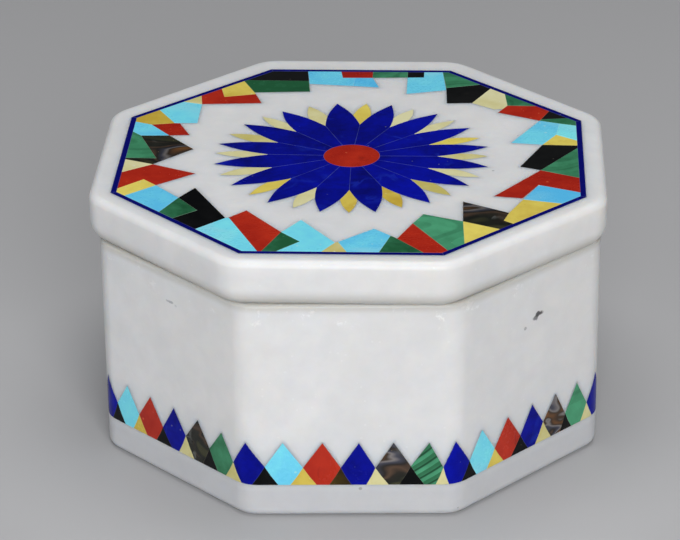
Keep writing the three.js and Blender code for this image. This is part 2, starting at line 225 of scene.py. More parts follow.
def newGroup(name, inputs, outputs):
    tree = bpy.data.node_groups.new(name, "ShaderNodeTree")
    for socketName, kind, value in inputs:
        socket = tree.interface.new_socket(socketName, in_out="INPUT", socket_type="NodeSocket" + kind)
        if value is not None:
            socket.default_value = value
    for socketName, kind in outputs:
        tree.interface.new_socket(socketName, in_out="OUTPUT", socket_type="NodeSocket" + kind)
    return tree, tree.nodes.new("NodeGroupInput").outputs, tree.nodes.new("NodeGroupOutput").inputs


def makeClouds():
    # broad and fine mottling, both centred on a half
    tree, given, result = newGroup(
        "clouds",
        [("Vector", "Vector", None), ("Scale", "Float", 40.0), ("Warp", "Float", 0.5)],
        [("Broad", "Float"), ("Fine", "Float")])
    broad = addNode(tree, "TexNoise", {"Vector": given["Vector"], "Scale": given["Scale"], "Detail": 5.0,
                                       "Roughness": 0.55, "Distortion": given["Warp"]})
    fine = addNode(tree, "TexNoise", {"Vector": given["Vector"], "Detail": 3.0, "Roughness": 0.6,
                                      "Scale": maths(tree, "MULTIPLY", given["Scale"], 6.5)})
    tree.links.new(stretch(tree, broad.outputs[0], 0.3, 0.7), result["Broad"])
    tree.links.new(stretch(tree, fine.outputs[0], 0.25, 0.75), result["Fine"])
    return tree


def makeVeins():
    # thin wandering lines where a warped noise crosses its middle value, broken up by a second noise
    tree, given, result = newGroup(
        "veins",
        [("Vector", "Vector", None), ("Scale", "Float", 30.0), ("Width", "Float", 0.02),
         ("Gaps", "Float", 0.5)],
        [("Mask", "Float")])
    path = addNode(tree, "TexNoise", {"Vector": given["Vector"], "Scale": given["Scale"], "Detail": 4.0,
                                      "Roughness": 0.5, "Distortion": 0.9})
    away = maths(tree, "ABSOLUTE", maths(tree, "SUBTRACT", path.outputs[0], 0.5))
    line = maths(tree, "SUBTRACT", 1.0, maths(tree, "DIVIDE", away, given["Width"]), clamp=True)
    breakUp = addNode(tree, "TexNoise", {"Vector": given["Vector"], "Detail": 2.0,
                                         "Scale": maths(tree, "MULTIPLY", given["Scale"], 1.7)})
    kept = addNode(tree, "MapRange", {"Value": breakUp.outputs[0], "From Min": given["Gaps"],
                                      "From Max": maths(tree, "ADD", given["Gaps"], 0.12)})
    tree.links.new(maths(tree, "MULTIPLY", line, kept.outputs["Result"]), result["Mask"])
    return tree


def makeSpecks():
    # round-cornered grains: the near middles of a few cells of a cell pattern
    tree, given, result = newGroup(
        "specks",
        [("Vector", "Vector", None), ("Scale", "Float", 600.0), ("Share", "Float", 0.1),
         ("Size", "Float", 0.3)],
        [("Mask", "Float")])
    cells = addNode(tree, "TexVoronoi", {"Vector": given["Vector"], "Scale": given["Scale"]})
    drawn = addNode(tree, "SeparateColor", {0: cells.outputs["Color"]})
    chosen = maths(tree, "LESS_THAN", drawn.outputs[0], given["Share"])
    edge = maths(tree, "MULTIPLY", given["Size"], maths(tree, "ADD", drawn.outputs[1], 0.35))
    inside = maths(tree, "LESS_THAN", cells.outputs["Distance"], edge)
    tree.links.new(maths(tree, "MULTIPLY", chosen, inside), result["Mask"])
    return tree


def makeBands():
    # agate-like bands: the fractional height of a slope, warped by a slow noise, sharp on one side of each
    # band and soft on the other
    tree, given, result = newGroup(
        "bands",
        [("Vector", "Vector", None), ("Scale", "Float", 60.0), ("Count", "Float", 6.0),
         ("Slant", "Float", 0.0)],
        [("Mask", "Float"), ("Line", "Float")])
    warp = addNode(tree, "TexNoise", {"Vector": given["Vector"], "Scale": given["Scale"], "Detail": 0.6,
                                      "Roughness": 0.35, "Distortion": 0.35})
    raised = maths(tree, "MULTIPLY_ADD", warp.outputs[0], given["Count"], given["Slant"])
    stepped = maths(tree, "FRACT", raised)
    fold = maths(tree, "PINGPONG", raised, 0.5)
    tree.links.new(stretch(tree, stepped, 0.15, 0.85), result["Mask"])
    tree.links.new(stretch(tree, fold, 0.36, 0.44), result["Line"])
    return tree


def makePolish():
    # hand polish: slow changes of gloss, faint rubbing marks and a very shallow ripple
    tree, given, result = newGroup(
        "polish",
        [("Vector", "Vector", None), ("Gloss", "Float", 0.25), ("Spread", "Float", 0.1)],
        [("Roughness", "Float"), ("Height", "Float")])
    slow = addNode(tree, "TexNoise", {"Vector": given["Vector"], "Scale": 55.0, "Detail": 4.0})
    grain = addNode(tree, "TexNoise", {"Vector": given["Vector"], "Scale": 900.0, "Detail": 3.0})
    ripple = addNode(tree, "TexNoise", {"Vector": given["Vector"], "Scale": 140.0, "Detail": 2.0})
    level = maths(tree, "MULTIPLY_ADD", maths(tree, "SUBTRACT", slow.outputs[0], 0.5), given["Spread"],
                  given["Gloss"])
    level = maths(tree, "MULTIPLY_ADD", maths(tree, "SUBTRACT", grain.outputs[0], 0.5),
                  maths(tree, "MULTIPLY", given["Spread"], 0.8), level)
    rubbed = maths(tree, "MULTIPLY", grain.outputs[0], 0.2)
    height = maths(tree, "MULTIPLY_ADD", ripple.outputs[0], 0.8, rubbed)
    tree.links.new(level, result["Roughness"])
    tree.links.new(height, result["Height"])
    return tree


def makeSettingPaste():
    # how much of the pale setting paste shows along a stone's edge, a little broken
    tree, given, result = newGroup(
        "settingPaste",
        [("Vector", "Vector", None), ("Amount", "Float", 0.7)],
        [("Mask", "Float")])
    near = addNode(tree, "Attribute", attribute_name="joint")
    patches = addNode(tree, "TexNoise", {"Vector": given["Vector"], "Scale": 330.0, "Detail": 2.0})
    kept = stretch(tree, patches.outputs[0], 0.3, 0.6, 0.35, 1.0)
    shown = stretch(tree, near.outputs["Fac"], 0.1, 0.75)
    broken = maths(tree, "MULTIPLY", shown, kept)
    tree.links.new(maths(tree, "MULTIPLY", broken, given["Amount"]), result["Mask"])
    return tree


def makeInclusion():
    # one natural spot: distance from its centre, squeezed along each axis and ragged by a noise
    tree, given, result = newGroup(
        "inclusion",
        [("Vector", "Vector", None), ("Centre", "Vector", None), ("Squeeze", "Vector", None),
         ("Radius", "Float", 0.001)],
        [("Mask", "Float")])
    ragged = addNode(tree, "TexNoise", {"Vector": given["Vector"], "Scale": 700.0, "Detail": 3.0})
    away = addNode(tree, "VectorMath", {0: given["Vector"], 1: given["Centre"]}, operation="SUBTRACT")
    squeezed = addNode(tree, "VectorMath", {0: away.outputs[0], 1: given["Squeeze"]}, operation="MULTIPLY")
    length = addNode(tree, "VectorMath", {0: squeezed.outputs[0]}, operation="LENGTH").outputs["Value"]
    share = maths(tree, "DIVIDE", length, given["Radius"])
    share = maths(tree, "MULTIPLY_ADD", maths(tree, "SUBTRACT", ragged.outputs[0], 0.5), 1.8, share)
    tree.links.new(stretch(tree, share, 1.0, 0.55), result["Mask"])
    return tree


clouds = makeClouds()
veins = makeVeins()
specks = makeSpecks()
bands = makeBands()
polish = makePolish()
settingPaste = makeSettingPaste()
inclusion = makeInclusion()


def placed(tree, group, inputs):
    return addNode(tree, "Group", inputs, node_tree=group).outputs


marbleLook = {
    "white": (0.87, 0.87, 0.875), "grey": (0.70, 0.71, 0.73), "warm": (0.83, 0.80, 0.74),
    # the last colour on the next line is painted shade for the lowest part of the box
    "flake": (0.97, 0.97, 0.97), "pit": (0.26, 0.25, 0.24), "lowShade": (0.56, 0.57, 0.60),
    # the first colour on the next line is painted shade for the groove under the lid
    "shadeUnderLid": (0.52, 0.49, 0.42), "bruise": (1.0, 1.0, 1.0),
    "gloss": 0.43, "depth": 0.8, "reach": 0.005, "scatter": (1.0, 0.82, 0.66),
}
marbleMarks = [
    # centre in millimetres, squeeze along each axis, radius, strength and colour of natural inclusions
    ((46.1, -41.8, 45.1), (0.5, 0.5, 1.0), 0.85, 0.9, (0.03, 0.03, 0.035)),
    ((45.4, -42.5, 44.6), (0.6, 0.6, 0.9), 0.75, 0.75, (0.08, 0.08, 0.085)),
    ((-43.6, -44.2, 49.9), (0.35, 0.35, 1.3), 0.55, 0.55, (0.22, 0.22, 0.25)),
    ((-42.2, -45.6, 49.6), (0.6, 0.6, 1.0), 0.5, 0.35, (0.40, 0.40, 0.42)),
]

# the shell's colours in order along its streaks
shellSheen = [(0.34, (0.060, 0.058, 0.022)), (0.40, (0.006, 0.008, 0.005)), (0.46, (0.016, 0.012, 0.008)),
              (0.50, (0.110, 0.060, 0.036)), (0.54, (0.014, 0.010, 0.009)), (0.60, (0.060, 0.062, 0.095)),
              (0.64, (0.270, 0.245, 0.240)), (0.67, (0.040, 0.022, 0.012)), (0.74, (0.280, 0.110, 0.028))]
stoneLooks = {
    # dark and light ends of the stone's own colour, then its veins, specks and gloss
    "lapis": {"dark": (0.0006, 0.002, 0.15), "light": (0.0010, 0.006, 0.46), "scale": 90.0,
              "vein": (0.010, 0.030, 0.46), "veinScale": 60.0, "veinWidth": 0.03, "veinShare": 0.54,
              "speck": (0.16, 0.17, 0.24), "speckShare": 0.03, "speckSize": 0.16, "shine": 0.1,
              "gloss": 0.24, "paste": (0.12, 0.16, 0.40), "pasteAmount": 0.5},
    "coral": {"dark": (0.36, 0.011, 0.004), "light": (0.60, 0.034, 0.010), "scale": 60.0,
              "vein": (0.16, 0.006, 0.003), "veinScale": 38.0, "veinWidth": 0.012, "veinShare": 0.52,
              "speck": (0.70, 0.12, 0.05), "speckShare": 0.04, "speckSize": 0.22, "shine": 0.25,
              "gloss": 0.26, "paste": (0.42, 0.20, 0.14), "pasteAmount": 0.45},
    "turquoise": {"dark": (0.105, 0.57, 0.96), "light": (0.25, 0.92, 1.0), "scale": 38.0,
                  "vein": (0.34, 0.80, 0.92), "veinScale": 26.0, "veinWidth": 0.07, "veinShare": 0.5,
                  "speck": (0.42, 0.84, 0.94), "speckShare": 0.05, "speckSize": 0.25, "shine": 0.35,
                  "gloss": 0.28, "paste": (0.50, 0.72, 0.78), "pasteAmount": 0.5},
    "malachite": {"dark": (0.014, 0.11, 0.042), "light": (0.085, 0.40, 0.21), "scale": 45.0,
                  "vein": (0.006, 0.055, 0.022), "veinScale": 40.0, "veinWidth": 0.012, "veinShare": 0.56,
                  "speck": (0.16, 0.44, 0.28), "speckShare": 0.03, "speckSize": 0.2, "shine": 0.25,
                  "gloss": 0.24, "paste": (0.40, 0.55, 0.42), "pasteAmount": 0.4,
                  "bandScale": 42.0, "bandCount": 8.0, "bandSlant": 0.0, "bandDepth": 0.22},
    "onyx": {"dark": (0.0012, 0.0016, 0.002), "light": (0.010, 0.010, 0.010), "scale": 70.0,
             "vein": (0.040, 0.036, 0.030), "veinScale": 34.0, "veinWidth": 0.01, "veinShare": 0.6,
             "speck": (0.06, 0.05, 0.04), "speckShare": 0.02, "speckSize": 0.18, "shine": 0.12,
             "gloss": 0.22, "paste": (0.10, 0.10, 0.09), "pasteAmount": 0.35},
    "ochre": {"dark": (0.62, 0.43, 0.048), "light": (0.90, 0.76, 0.15), "scale": 55.0,
              "vein": (0.44, 0.24, 0.03), "veinScale": 45.0, "veinWidth": 0.02, "veinShare": 0.55,
              "speck": (0.82, 0.74, 0.36), "speckShare": 0.05, "speckSize": 0.25, "shine": 0.35,
              "gloss": 0.3, "paste": (0.62, 0.52, 0.26), "pasteAmount": 0.45},
    "pale_yellow": {"dark": (0.62, 0.54, 0.15), "light": (0.84, 0.81, 0.48), "scale": 55.0,
                    "vein": (0.58, 0.46, 0.18), "veinScale": 45.0, "veinWidth": 0.02, "veinShare": 0.57,
                    "speck": (0.86, 0.84, 0.66), "speckShare": 0.05, "speckSize": 0.25, "shine": 0.35,
                    "gloss": 0.32, "paste": (0.74, 0.70, 0.50), "pasteAmount": 0.35},
    "abalone": {"dark": (0.004, 0.006, 0.005), "light": (0.045, 0.048, 0.036), "scale": 95.0,
                "vein": (0.30, 0.31, 0.30), "veinScale": 50.0, "veinWidth": 0.03, "veinShare": 0.56,
                "speck": (0.24, 0.17, 0.09), "speckShare": 0.04, "speckSize": 0.2, "shine": 0.3,
                "gloss": 0.18, "paste": (0.20, 0.17, 0.12), "pasteAmount": 0.35, "sheen": shellSheen},
}


def newMaterial(name):
    material = bpy.data.materials.new(name)
    material.use_nodes = True
    tree = material.node_tree
    shader = tree.nodes["Principled BSDF"]
    where = addNode(tree, "TexCoord").outputs["Object"]
    return material, tree, shader, where


def bumped(tree, shader, height, strength, distance):
    bump = addNode(tree, "Bump", {"Height": height, "Strength": strength, "Distance": distance})
    tree.links.new(bump.outputs[0], shader.inputs["Normal"])


def makeStone(name, look):
    material, tree, shader, where = newMaterial(name)
    tone = addNode(tree, "Attribute", attribute_name="tone").outputs["Fac"]
    cloud = placed(tree, clouds, {"Vector": where, "Scale": look["scale"], "Warp": 0.6})
    share = maths(tree, "MULTIPLY_ADD", cloud["Fine"], 0.25, maths(tree, "MULTIPLY", cloud["Broad"], 0.45))
    share = maths(tree, "ADD", share, tone, clamp=True)
    color = mixed(tree, share, look["dark"], look["light"])
    if name == "malachite":
        slant = addNode(tree, "Attribute", attribute_name="slant").outputs["Fac"]
        band = placed(tree, bands, {"Vector": where, "Scale": look["bandScale"], "Count": look["bandCount"],
                                    "Slant": maths(tree, "MULTIPLY", slant, look["bandSlant"])})
        depth = look["bandDepth"]
        color = mixed(tree, maths(tree, "MULTIPLY", band["Mask"], depth), color, look["dark"])
        color = mixed(tree, maths(tree, "MULTIPLY", band["Line"], depth * 1.2), color, look["vein"])
    if name == "abalone":
        drawnOut = addNode(tree, "Mapping", {"Vector": where, "Rotation": (0.5, 0.7, 0.9),
                                             "Scale": (0.35, 1.0, 1.3)})
        sheen = addNode(tree, "TexNoise", {"Vector": drawnOut.outputs[0], "Scale": 105.0, "Detail": 2.0,
                                           "Distortion": 0.5})
        ramp = addNode(tree, "ValToRGB", {0: maths(tree, "MULTIPLY_ADD", tone, 0.12, sheen.outputs[0])})
        stops = look["sheen"]
        ramp.color_ramp.elements[0].position = stops[0][0]
        ramp.color_ramp.elements[0].color = (*stops[0][1], 1)
        ramp.color_ramp.elements[1].position = stops[1][0]
        ramp.color_ramp.elements[1].color = (*stops[1][1], 1)
        for position, stopColor in stops[2:]:
            ramp.color_ramp.elements.new(position).color = (*stopColor, 1)
        color = mixed(tree, maths(tree, "MULTIPLY_ADD", tone, 0.8, 0.6), color, ramp.outputs[0])
    line = placed(tree, veins, {"Vector": where, "Scale": look["veinScale"], "Width": look["veinWidth"],
                                "Gaps": look["veinShare"]})
    color = mixed(tree, maths(tree, "MULTIPLY", line["Mask"], 0.55), color, look["vein"])
    grain = placed(tree, specks, {"Vector": where, "Scale": 900.0, "Share": look["speckShare"],
                                  "Size": look["speckSize"]})
    color = mixed(tree, maths(tree, "MULTIPLY", grain["Mask"], 0.8), color, look["speck"])
    paste = placed(tree, settingPaste, {"Vector": where, "Amount": look["pasteAmount"]})
    color = mixed(tree, paste["Mask"], color, look["paste"])
    tree.links.new(color, shader.inputs["Base Color"])
    rub = placed(tree, polish, {"Vector": where, "Gloss": look["gloss"], "Spread": 0.12})
    rough = maths(tree, "MULTIPLY_ADD", paste["Mask"], 0.35, rub["Roughness"])
    tree.links.new(rough, shader.inputs["Roughness"])
    shader.inputs["Specular IOR Level"].default_value = look["shine"]
    bumped(tree, shader, rub["Height"], 0.06, 0.0003)
    return material


def makeMarble(look):
    material, tree, shader, where = newMaterial("marble")
    cloud = placed(tree, clouds, {"Vector": where, "Scale": 22.0, "Warp": 1.1})
    small = placed(tree, clouds, {"Vector": where, "Scale": 160.0, "Warp": 0.4})
    color = mixed(tree, maths(tree, "MULTIPLY", cloud["Broad"], 0.28), look["white"], look["grey"])
    color = mixed(tree, maths(tree, "MULTIPLY", small["Broad"], 0.24), color, look["grey"])
    warm = placed(tree, clouds, {"Vector": where, "Scale": 13.0, "Warp": 0.8})
    color = mixed(tree, maths(tree, "MULTIPLY", warm["Broad"], 0.25), color, look["warm"])
    vein = placed(tree, veins, {"Vector": where, "Scale": 12.0, "Width": 0.03, "Gaps": 0.5})
    color = mixed(tree, maths(tree, "MULTIPLY", vein["Mask"], 0.10), color, look["grey"])
    flake = placed(tree, specks, {"Vector": where, "Scale": 1100.0, "Share": 0.025, "Size": 0.3})
    color = mixed(tree, maths(tree, "MULTIPLY", flake["Mask"], 0.3), color, look["flake"])
    # bruises from the chisel, thickest just under the rim
    height = addNode(tree, "SeparateXYZ", {0: where}).outputs[2]
    band = maths(tree, "MULTIPLY", stretch(tree, height, 0.049, 0.055), stretch(tree, height, 0.061, 0.058))
    dab = addNode(tree, "TexNoise", {"Vector": where, "Scale": 260.0, "Detail": 4.0, "Roughness": 0.7})
    bruise = maths(tree, "MULTIPLY", stretch(tree, dab.outputs[0], 0.59, 0.68), band)
    color = mixed(tree, maths(tree, "MULTIPLY", bruise, 0.8), color, look["bruise"])
    # painted shade: the marble darkened to grey-beige in the groove under the lid
    grooveShade = maths(tree, "MULTIPLY", stretch(tree, height, 0.0550, 0.0573),
                   stretch(tree, height, 0.0622, 0.0580))
    color = mixed(tree, maths(tree, "MULTIPLY", grooveShade, 0.6), color, look["shadeUnderLid"])
    # painted shade: the lowest part greyed, darker towards the bottom, over a faint grey mottling everywhere
    low = maths(tree, "MULTIPLY", stretch(tree, height, 0.0105, 0.0065), 0.62)
    color = mixed(tree, maths(tree, "MULTIPLY_ADD", cloud["Fine"], 0.12, low), color, look["lowShade"])
    pit = placed(tree, specks, {"Vector": where, "Scale": 420.0, "Share": 0.005, "Size": 0.18})
    color = mixed(tree, maths(tree, "MULTIPLY", pit["Mask"], 0.55), color, look["pit"])
    for centre, squeeze, radius, strength, markColor in marbleMarks:
        spot = placed(tree, inclusion, {"Vector": where, "Centre": tuple(c * mm for c in centre),
                                        "Squeeze": squeeze, "Radius": radius * mm})
        color = mixed(tree, maths(tree, "MULTIPLY", spot["Mask"], strength), color, markColor)
    tree.links.new(color, shader.inputs["Base Color"])
    rub = placed(tree, polish, {"Vector": where, "Gloss": look["gloss"], "Spread": 0.14})
    rough = maths(tree, "MULTIPLY_ADD", bruise, 0.25, rub["Roughness"])
    tree.links.new(rough, shader.inputs["Roughness"])
    shader.inputs["Specular IOR Level"].default_value = 0.45
    shader.inputs["Subsurface Weight"].default_value = look["depth"]
    shader.inputs["Subsurface Radius"].default_value = look["scatter"]
    shader.inputs["Subsurface Scale"].default_value = look["reach"]
    relief = maths(tree, "MULTIPLY_ADD", small["Broad"], 0.4, rub["Height"])
    relief = maths(tree, "SUBTRACT", relief, maths(tree, "MULTIPLY", pit["Mask"], 1.5))
    relief = maths(tree, "MULTIPLY_ADD", bruise, 0.6, relief)
    bumped(tree, shader, relief, 0.14, 0.0005)
    return material


marble = makeMarble(marbleLook)
stoneMaterials = {name: makeStone(name, look) for name, look in stoneLooks.items()}
bandedMalachite = makeStone("malachite", {**stoneLooks["malachite"], "bandCount": 1.6, "bandSlant": 300.0,
                                          "bandDepth": 0.75})
brownOnyx = makeStone("onyx", {**stoneLooks["onyx"], "dark": (0.030, 0.018, 0.004),
                               "light": (0.12, 0.075, 0.012)})
# stones of the frieze cut from another piece of the same kind
chosenStones = {
    "friezeKite_06_malachite": bandedMalachite, "friezeKite_24_malachite": bandedMalachite,
    "friezeKite_42_malachite": bandedMalachite,
    "friezeGap_03_onyx": brownOnyx, "friezeGap_27_onyx": brownOnyx,
}
print("finishes made:", len({marble, bandedMalachite, brownOnyx, *stoneMaterials.values()}))


stoneEdge = {"paste": 0.09, "sunk": 0.03, "side": 0.10, "overcut": 0.02, "floor": 0.05}
lidCutters = []


def slabRings(outline, profile):
    # the outline repeated at each profile row of growth and height
    return np.stack([np.concatenate([grownOutline(outline, growth), np.full((len(outline), 1), height)], 1)
                     for growth, height in profile])


def layFlat(name, outline, kind, tone, *nodes):
    # a flat stone set flush in the lid: underside, side, sunk edge of paste, polished top
    outline = turnedOnto(inlayCentre, anticlockwise(outline))
    profile = [(0.0, topZ - stoneDepth), (0.0, topZ - stoneEdge["side"]), (0.0, topZ - stoneEdge["sunk"]),
               (-stoneEdge["paste"] * 0.5, topZ - stoneEdge["sunk"] * 0.35), (-stoneEdge["paste"], topZ)]
    rings = slabRings(outline, profile)
    joint = np.repeat([1.0, 1.0, 1.0, 0.8, 0.0], len(outline))
    piece = stripSolid(name, rings, {"joint": joint, "tone": tone})
    finished(piece, stoneMaterials[kind], "lid", kind, *nodes)
    lidCutters.append(slabRings(outline, [(stoneEdge["overcut"], topZ - stoneDepth - stoneEdge["floor"]),
                                          (stoneEdge["overcut"], topZ + 1)]))
    return piece


rosette = {
    "petals": 16, "discRadius": (discHigh.x - discLow.x) / 2 / mm, "notch": 21.0, "tip": 35.0, "bulge": 0.8,
    "tipStone": 34.7, "leaves": 0.44, "tipBulge": 0.45,
    # degrees the petals' points stand off even spacing, anticlockwise from the front
    "leans": [0.6, 1.7, 2.5, 0.9, -0.5, -1.5, -3.4, -3.8, -2.6, 0.1, -1.0, -0.3, -1.5, -0.6, 0.2, 0.9],
    # golden and pale stones, anticlockwise from the front
    "tipKinds": [("ochre", 0.0), ("ochre", -0.1), ("pale_yellow", -0.3), ("pale_yellow", 0.5),
                 ("pale_yellow", 0.1), ("ochre", 0.6), ("pale_yellow", 0.5), ("pale_yellow", 0.6),
                 ("ochre", 0.4), ("pale_yellow", 0.1), ("pale_yellow", 0.3), ("pale_yellow", 0.0),
                 ("pale_yellow", 0.2), ("pale_yellow", 0.1), ("ochre", 0.2), ("pale_yellow", 0.5)],
}


def polar(radius, angle):
    # a radius times the cosine and the sine of an angle
    return np.stack([radius * np.cos(angle), radius * np.sin(angle)], -1)


def bowed(start, end, bulge, steps):
    # a straight run from start to end plus a sine hump to its right
    share = np.linspace(0, 1, steps + 1)[:, None]
    chord = end - start
    right = np.array([chord[1], -chord[0]]) / np.linalg.norm(chord)
    return start + chord * share + right * bulge * np.sin(np.pi * share)


def makeRosette(spec):
    # sides at even angles plus the mean lean of their two petals, points at even angles plus their own lean;
    # each petal runs from the disc along its sides to the notches, then along two bowed edges to its point
    count = spec["petals"]
    step = 2 * np.pi / count
    leans = np.radians(spec["leans"])
    wander = (leans + np.roll(leans, 1)) / 2 + np.radians(chance.uniform(-0.4, 0.4, count))
    sideAngles = np.arange(count) * step - np.pi / 2 + wander
    notches = polar(spec["notch"] + chance.uniform(-0.7, 0.7, count), sideAngles)
    feet = polar(np.full(count, spec["discRadius"]), sideAngles)
    tipAngles = (np.arange(count) + 0.5) * step - np.pi / 2 + leans
    tips = polar(spec["tip"] + chance.uniform(-0.25, 0.15, count), tipAngles)
    circle = np.linspace(0, 2 * np.pi, 64, endpoint=False)
    layFlat("rosetteDisc", polar(spec["discRadius"], circle), "coral", 0.1, "rosette_disc")
    for i in range(count):
        ahead = (i + 1) % count
        rightSide = bowed(notches[i], tips[i], spec["bulge"], 12)
        leftSide = bowed(tips[i], notches[ahead], spec["bulge"], 12)
        end = sideAngles[ahead] + (2 * np.pi if ahead == 0 else 0)
        discEdge = polar(spec["discRadius"], np.linspace(end, sideAngles[i], 7)[1:-1])
        outline = np.concatenate([feet[i:i + 1], rightSide, leftSide[1:], feet[ahead:ahead + 1], discEdge])
        layFlat("petal_%02d" % (i + 1), outline, "lapis", chance.uniform(-0.15, 0.25), "petal_%d" % (i + 1))
    for i in range(count):
        before = (i - 1) % count
        kept = int(12 * spec["leaves"]) + 1
        rightEdge = bowed(notches[i], tips[before], -spec["bulge"], 12)[:kept]
        leftEdge = bowed(notches[i], tips[i], spec["bulge"], 12)[:kept]
        pointReach = spec["tipStone"] + chance.uniform(-0.5, 0.3)
        pointAngle = sideAngles[i] + chance.uniform(-0.01, 0.01)
        point = polar(pointReach, pointAngle)
        upRight = bowed(leftEdge[-1], point, -spec["tipBulge"], 6)[1:]
        upLeft = bowed(rightEdge[-1], point, spec["tipBulge"], 6)[1:-1]
        outline = np.concatenate([leftEdge, upRight, upLeft[::-1], rightEdge[:0:-1]])
        kind, tone = spec["tipKinds"][i]
        layFlat("petalTip_%02d" % (i + 1), outline, kind, tone, "petal_tip_%d" % (i + 1))


makeRosette(rosette)
print("rosette laid")

borderLine = {"outer": 58.55, "width": 1.4}


def makeBorderLine(spec):
    # a strip along each side, its ends mitred at the octagon's corners
    corners = (np.arange(sides) - 2.5) * sideAngle
    outer = polar(spec["outer"] * cornerScale, corners)
    inner = polar((spec["outer"] - spec["width"]) * cornerScale, corners)
    for side in range(sides):
        ahead = (side + 1) % sides
        outline = [outer[side], outer[ahead], inner[ahead], inner[side]]
        layFlat("borderStrip_" + faceNames[side], outline, "lapis", chance.uniform(-0.7, -0.4), "border_line")


makeBorderLine(borderLine)

